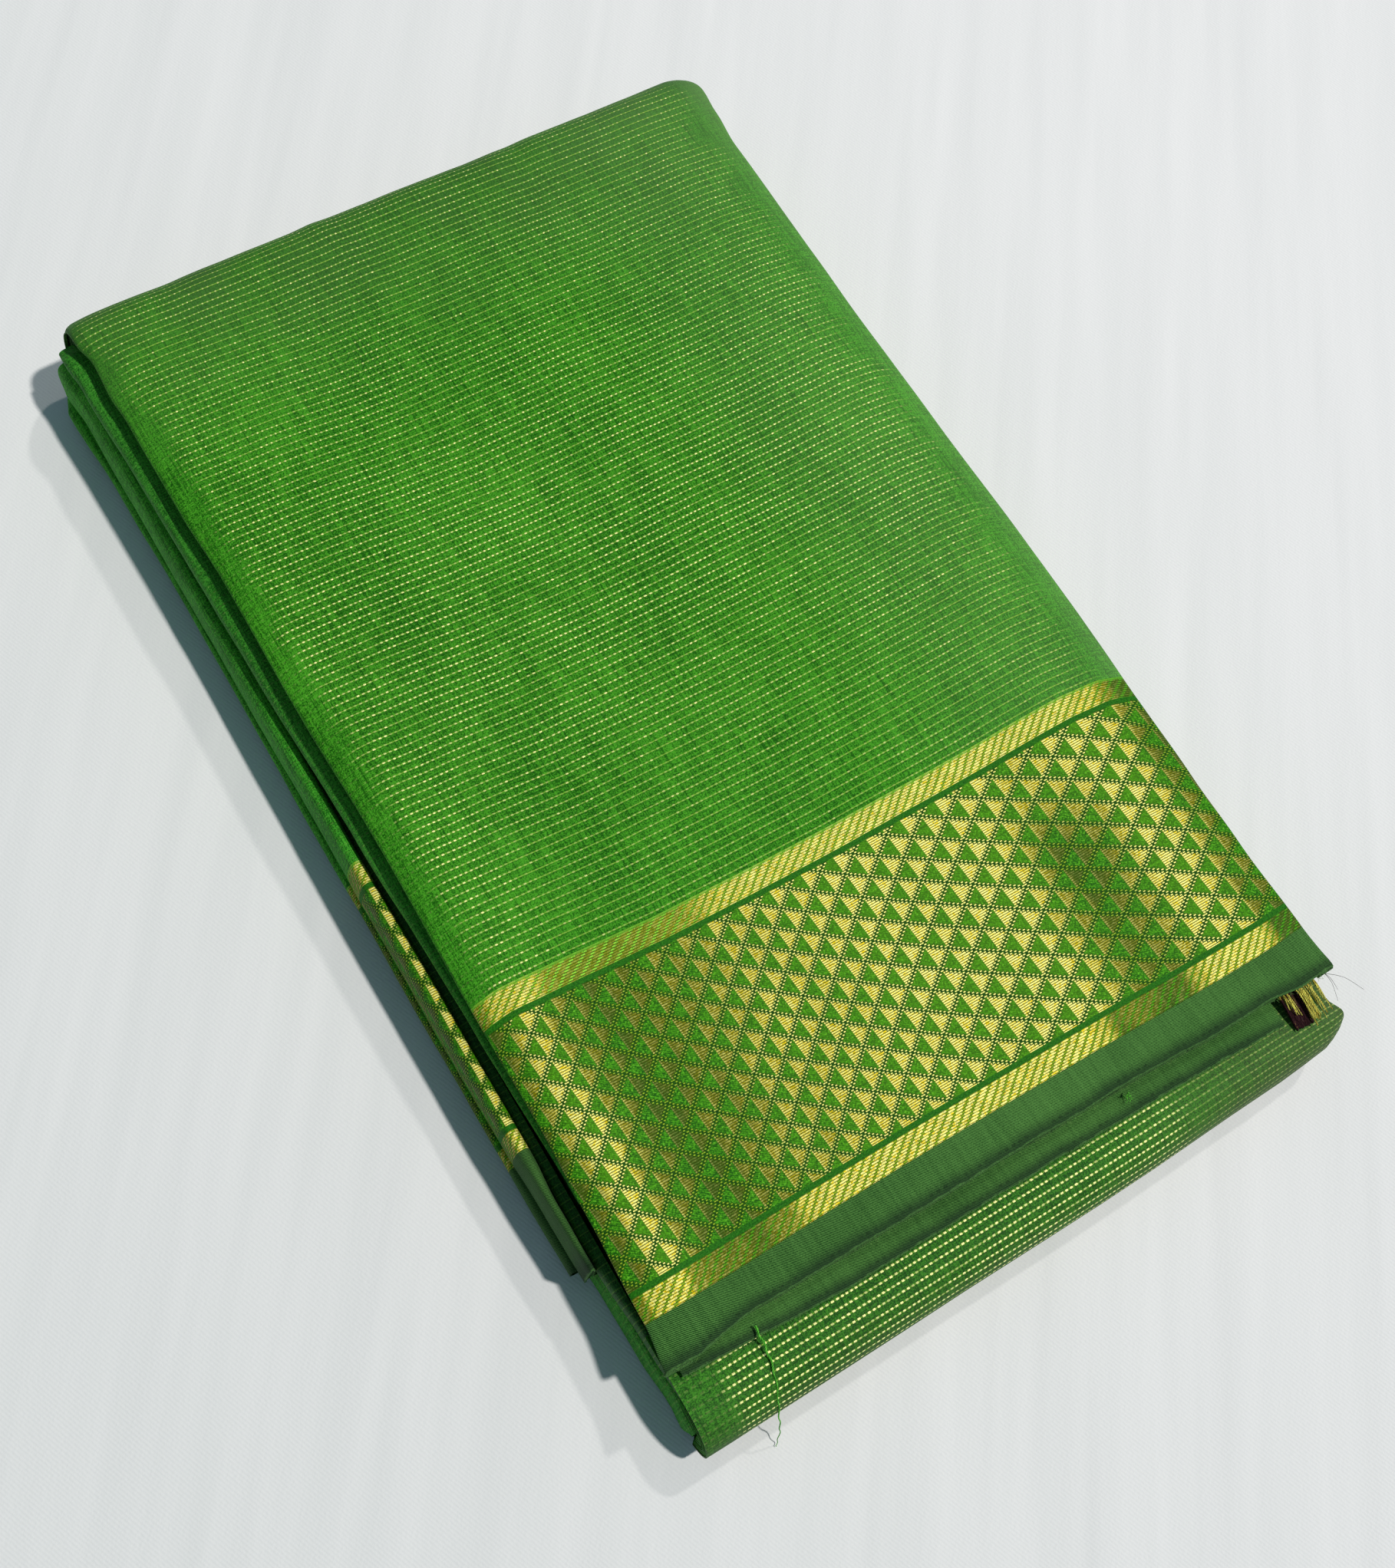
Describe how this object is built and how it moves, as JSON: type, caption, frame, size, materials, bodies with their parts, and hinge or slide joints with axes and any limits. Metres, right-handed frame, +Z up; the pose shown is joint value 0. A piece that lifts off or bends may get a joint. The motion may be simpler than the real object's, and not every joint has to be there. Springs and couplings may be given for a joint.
{
  "type": "folded saree",
  "caption": "Green saree with fine gold stripes and a wide woven gold border, folded into a flat rectangular bundle.",
  "frame": {"origin": "on the surface that the bundle lies on, under the middle of its box", "axes": "+X along the border towards the closed folds, +Y across the cloth's width towards the top fold, +Z up"},
  "size_m": [0.1932, 0.3199, 0.034],
  "materials": {
    "green": "plain weave with thin dotted gold stripes",
    "gold_border": "metallic gold thread in satin floats on green",
    "selvedge": "plain dark green twill",
    "zari_end": "cut threads, gold on dark brown"
  },
  "bodies": {
    "root": {"hidden_layers": "green", "flap_body": "green", "flap_border": "gold_border", "flap_selvedge": "selvedge", "flap_layers": "selvedge", "second_flap_selvedge": "selvedge", "bottom_fold": "green", "cut_end": "zari_end", "second_roll": "green", "third_roll_body": "green", "third_roll_border": "gold_border", "third_roll_selvedge": "selvedge", "third_roll_lower": "green", "inner_roll": "green", "lowest_roll": "green", "right_roll_upper": "green", "right_roll_middle": "green", "right_roll_lower": "green", "under_panel": "green"}
  },
  "joints": []
}
